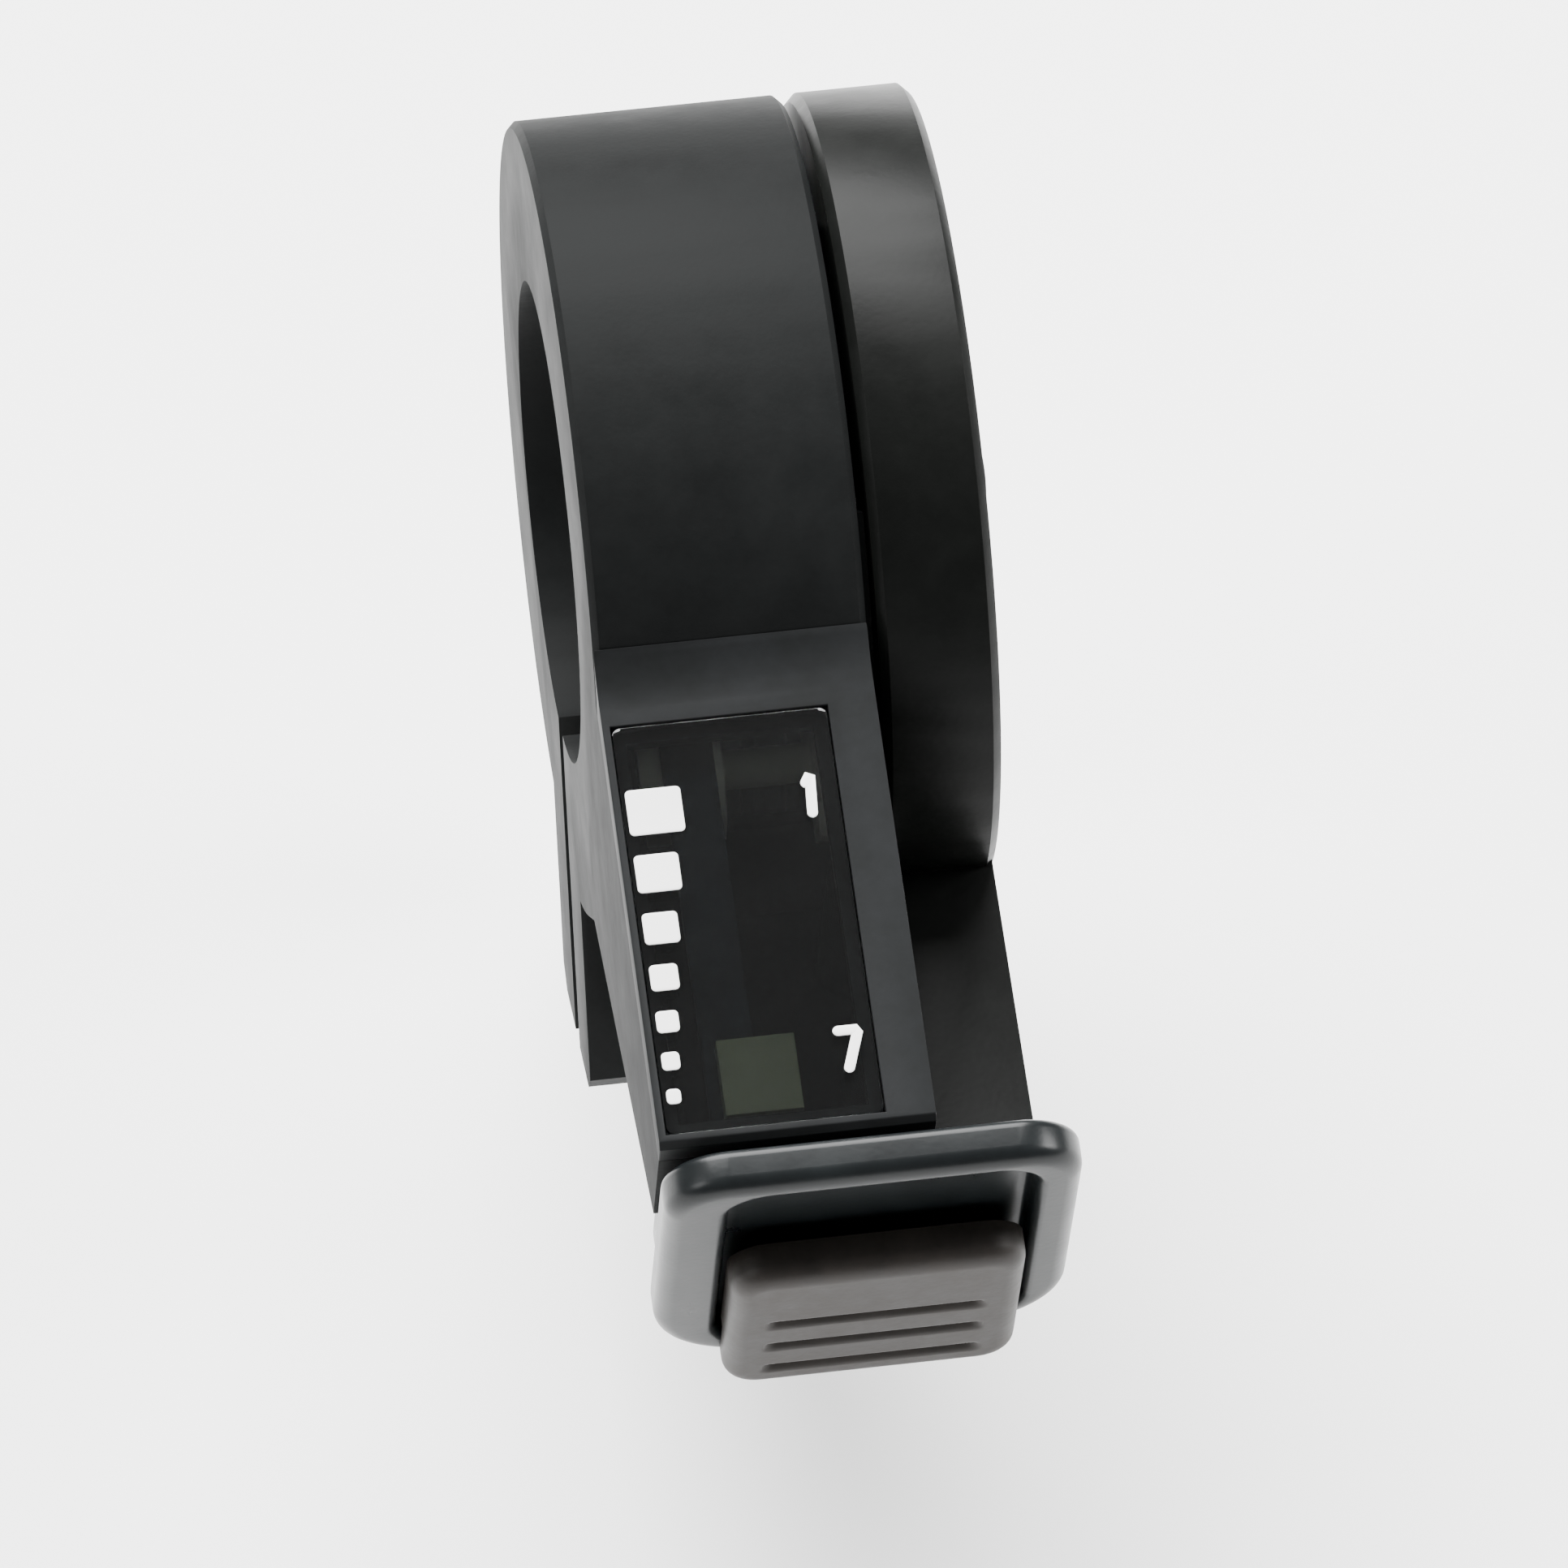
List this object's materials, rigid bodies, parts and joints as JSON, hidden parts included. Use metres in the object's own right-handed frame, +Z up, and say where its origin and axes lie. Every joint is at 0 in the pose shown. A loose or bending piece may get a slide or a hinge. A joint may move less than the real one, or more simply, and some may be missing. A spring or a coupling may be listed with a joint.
{
  "type": "thumb shifter",
  "caption": "Ring-mounted thumb shifter with a gear display tongue, a lever hub beside the ring, a thumb paddle with a rubber pad and a barrel adjuster.",
  "frame": {"origin": "on the handlebar's axis, at the middle of the housing ring's width", "axes": "+X outboard along the bar, +Y forward away from the rider, +Z up"},
  "size_m": [0.0188, 0.0611, 0.0527],
  "materials": {
    "housing_nylon": "moulded black glass-filled nylon, satin",
    "bezel_plastic": "moulded charcoal plastic, fine satin grain",
    "smoked_window": "clear smoked acrylic, glossy",
    "white_print": "white pad print",
    "zinc_steel": "zinc-plated steel",
    "dark_steel": "blackened steel",
    "spring_steel": "bright spring steel",
    "plate_steel": "pressed steel",
    "acetal": "natural acetal, moulded",
    "pointer_plastic": "dull olive moulded plastic",
    "small_black_plastic": "moulded black nylon",
    "lever_plastic": "moulded black plastic, semi-gloss",
    "paddle_plastic": "moulded black plastic, satin",
    "pad_rubber": "soft warm-grey rubber"
  },
  "bodies": {
    "housing": {"housing": "housing_nylon", "clamp_bolt": "zinc_steel", "clamp_nut": "zinc_steel", "display_bezel": "bezel_plastic", "display_lens": "smoked_window", "gear_marks": "white_print", "bezel_screws": "dark_steel", "indicator_band": "spring_steel", "click_spring": "spring_steel", "stop_pin": "plate_steel", "cable_port_plug": "small_black_plastic", "adjuster_spring": "spring_steel", "thrust_washer": "plate_steel", "circlip": "dark_steel"},
    "lever": {"lever_arm": "lever_plastic", "hub_bush": "acetal", "spool": "small_black_plastic", "index_ring": "plate_steel", "thumb_paddle": "paddle_plastic", "paddle_screws": "dark_steel", "thumb_pad": "pad_rubber"},
    "pinion": {"idler_pinion": "acetal"},
    "pointer": {"pointer": "pointer_plastic"},
    "adjuster": {"barrel_adjuster": "small_black_plastic"}
  },
  "joints": [
    {"name": "lever_turn", "type": "hinge", "parent": "housing", "child": "lever", "pos_m": [0, 0, 0], "axis": [1, 0, 0], "range_deg": [0, 56], "deforming": ["click_spring", "indicator_band"]},
    {"name": "pinion_spin", "type": "hinge", "parent": "housing", "child": "pinion", "pos_m": [0, -0.01771, 0.00117], "axis": [1, 0, 0], "range_deg": [-252, 0]},
    {"name": "pointer_slide", "type": "slide", "parent": "housing", "child": "pointer", "axis": [0, 0.9397, 0.342], "range_m": [0, 0.0137]},
    {"name": "adjuster_turn", "type": "hinge", "parent": "housing", "child": "adjuster", "pos_m": [0.0018, 0.0157, 0], "axis": [0, 0, 1], "continuous": true}
  ],
  "couplings": [
    {"joint": "pinion_spin", "follows": "lever_turn", "ratio": -4.5},
    {"joint": "pointer_slide", "follows": "lever_turn", "m_per_rad": 0.014017}
  ]
}
